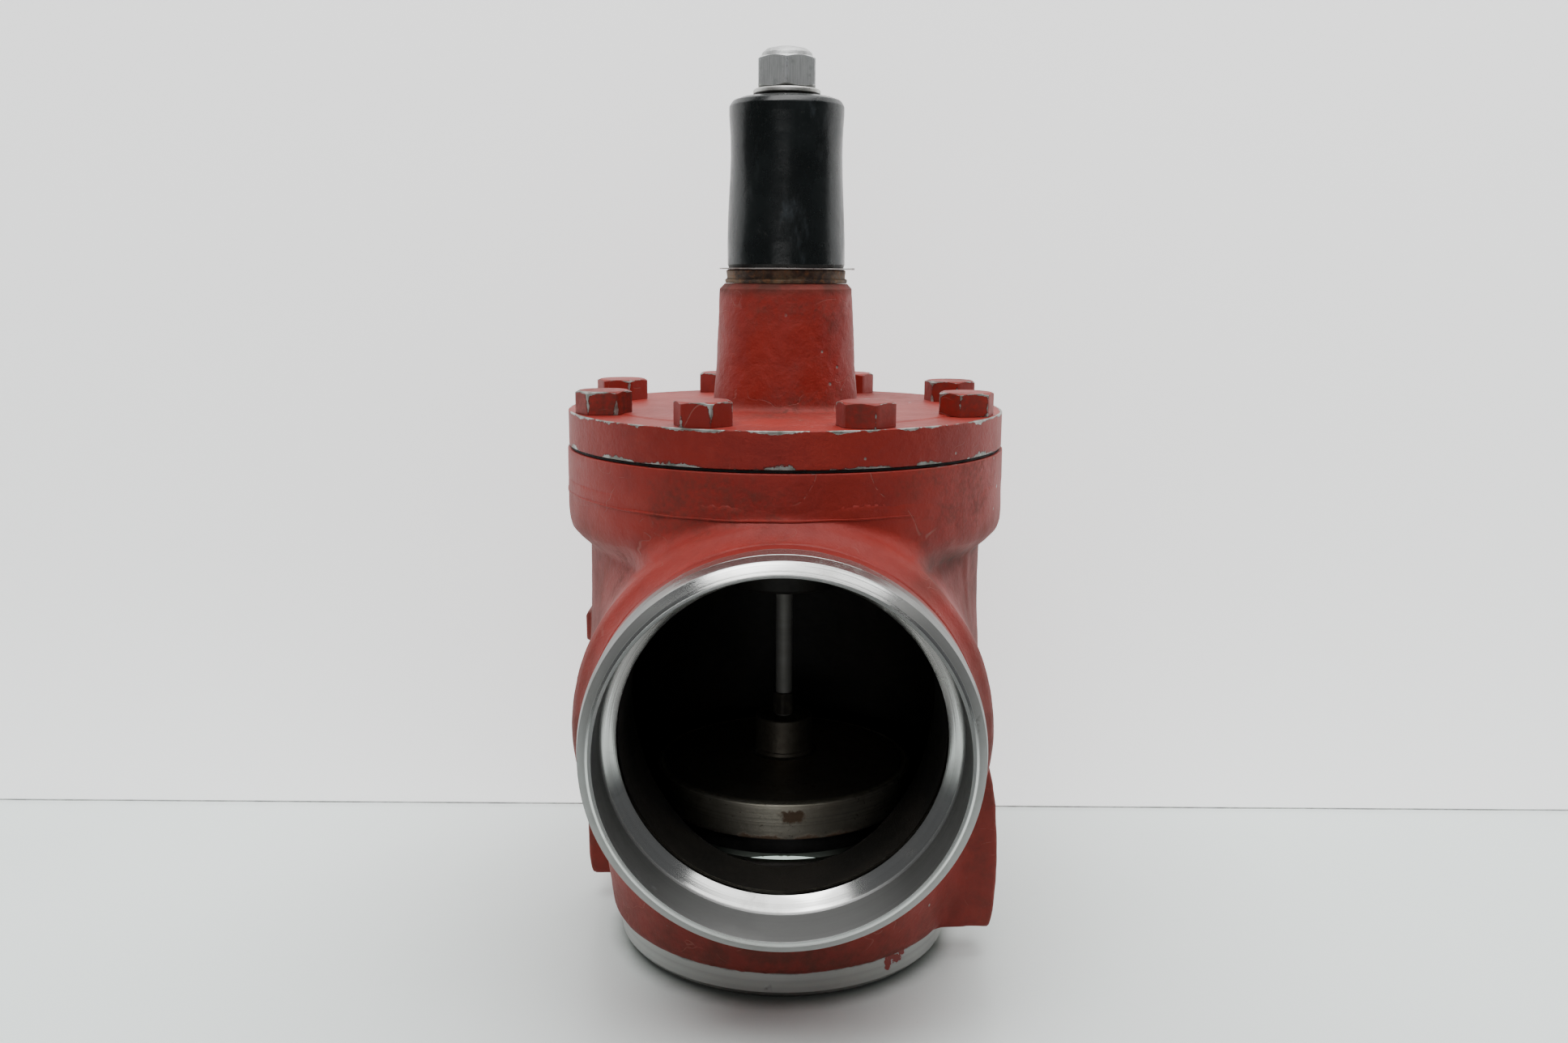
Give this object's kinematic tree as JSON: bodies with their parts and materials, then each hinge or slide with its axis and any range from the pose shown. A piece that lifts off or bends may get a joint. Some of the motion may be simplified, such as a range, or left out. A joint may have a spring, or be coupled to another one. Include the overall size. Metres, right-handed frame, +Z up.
{
  "type": "pressure reducing valve",
  "caption": "Angle pattern pressure reducing valve with butt-weld ends, bolted bonnet, spring loaded disc on a guided stem, and a capped adjusting screw.",
  "frame": {"origin": "bottom centre of the valve's box: at the height of the outlet weld face, midway between the inlet face and the back of the bonnet flange", "axes": "+Z up along the outlet, stem and bonnet axis; -Y out of the inlet; +X to the right seen from in front of the inlet"},
  "size_m": [0.211, 0.2536, 0.4413],
  "materials": {
    "red_paint": "worn brush-painted brown-red primer over cast steel, satin, dusty, chipped on the edges",
    "machined_steel": "turned bare steel",
    "zinc_steel": "dull zinc plated steel",
    "black_plastic": "black moulded plastic, semi-gloss, scuffed",
    "rusty_iron": "turned iron with brown surface rust",
    "dark_steel": "dull grey-brown machined steel",
    "seal_rubber": "matt black rubber",
    "gasket_sheet": "black fibre sheet",
    "packing_ptfe": "off-white packing",
    "bush_bronze": "turned bronze",
    "spring_steel": "oiled spring steel",
    "sheet_tin": "thin grey sheet metal, bent and stained"
  },
  "bodies": {
    "valve": {"valve_body": "red_paint", "seat_ring": "machined_steel", "seat_gasket": "seal_rubber", "bonnet": "red_paint", "bonnet_gasket": "gasket_sheet", "bonnet_bolt_1": "red_paint", "bonnet_bolt_2": "red_paint", "bonnet_bolt_3": "red_paint", "bonnet_bolt_4": "red_paint", "bonnet_bolt_5": "red_paint", "bonnet_bolt_6": "red_paint", "bonnet_bolt_7": "red_paint", "bonnet_bolt_8": "red_paint", "guide_bush": "bush_bronze", "packing_washer": "machined_steel", "packing_ring_1": "packing_ptfe", "packing_ring_2": "packing_ptfe", "packing_ring_3": "packing_ptfe", "packing_nut": "machined_steel", "neck_plug": "rusty_iron", "neck_plug_ring": "seal_rubber", "tag_plate": "sheet_tin"},
    "plug": {"disc": "dark_steel", "disc_seal": "seal_rubber", "seal_retainer": "machined_steel", "retainer_nut": "zinc_steel", "stem": "machined_steel", "stem_lock_nut": "dark_steel", "stem_circlip": "spring_steel", "lower_spring_plate": "zinc_steel", "adjusting_spring": "spring_steel"},
    "spring_seat": {"upper_spring_plate": "zinc_steel", "thrust_ball": "machined_steel"},
    "screw": {"adjusting_screw": "zinc_steel"},
    "lock_ring": {"lock_washer": "zinc_steel"},
    "lock": {"lock_nut": "zinc_steel"},
    "cap": {"sleeve_cap": "black_plastic", "cap_seal": "seal_rubber"},
    "nut_washer": {"cap_washer": "zinc_steel"},
    "dome_nut": {"cap_nut": "zinc_steel"}
  },
  "joints": [
    {"name": "plug_lift", "type": "slide", "parent": "valve", "child": "plug", "axis": [0, 0, 1], "range_m": [-0.0043, 0.024], "deforming": ["adjusting_spring"]},
    {"name": "adjuster_travel", "type": "slide", "parent": "valve", "child": "spring_seat", "axis": [0, 0, 1], "range_m": [-0.01, 0.002]},
    {"name": "screw_turn", "type": "hinge", "parent": "spring_seat", "child": "screw", "pos_m": [0, 0.0213, 0.38], "axis": [0, 0, 1], "range_deg": [-1441, 289]},
    {"name": "lock_nut_travel", "type": "slide", "parent": "valve", "child": "lock_ring", "axis": [0, 0, 1], "range_m": [0, 0.015]},
    {"name": "lock_nut_turn", "type": "hinge", "parent": "lock_ring", "child": "lock", "pos_m": [0, 0.0213, 0.344], "axis": [0, 0, 1], "range_deg": [-1, 2161]},
    {"name": "cap_lift", "type": "slide", "parent": "valve", "child": "cap", "axis": [0, 0, 1], "range_m": [0, 0.11]},
    {"name": "cap_nut_travel", "type": "slide", "parent": "cap", "child": "nut_washer", "axis": [0, 0, 1], "range_m": [0, 0.015]},
    {"name": "cap_nut_turn", "type": "hinge", "parent": "nut_washer", "child": "dome_nut", "pos_m": [0, 0.0213, 0.43], "axis": [0, 0, 1], "range_deg": [-1, 2161]}
  ],
  "couplings": [
    {"joint": "screw_turn", "follows": "adjuster_travel", "rad_per_m": 2513.3},
    {"joint": "lock_nut_turn", "follows": "lock_nut_travel", "rad_per_m": 2513.3},
    {"joint": "cap_nut_turn", "follows": "cap_nut_travel", "rad_per_m": 2513.3}
  ]
}
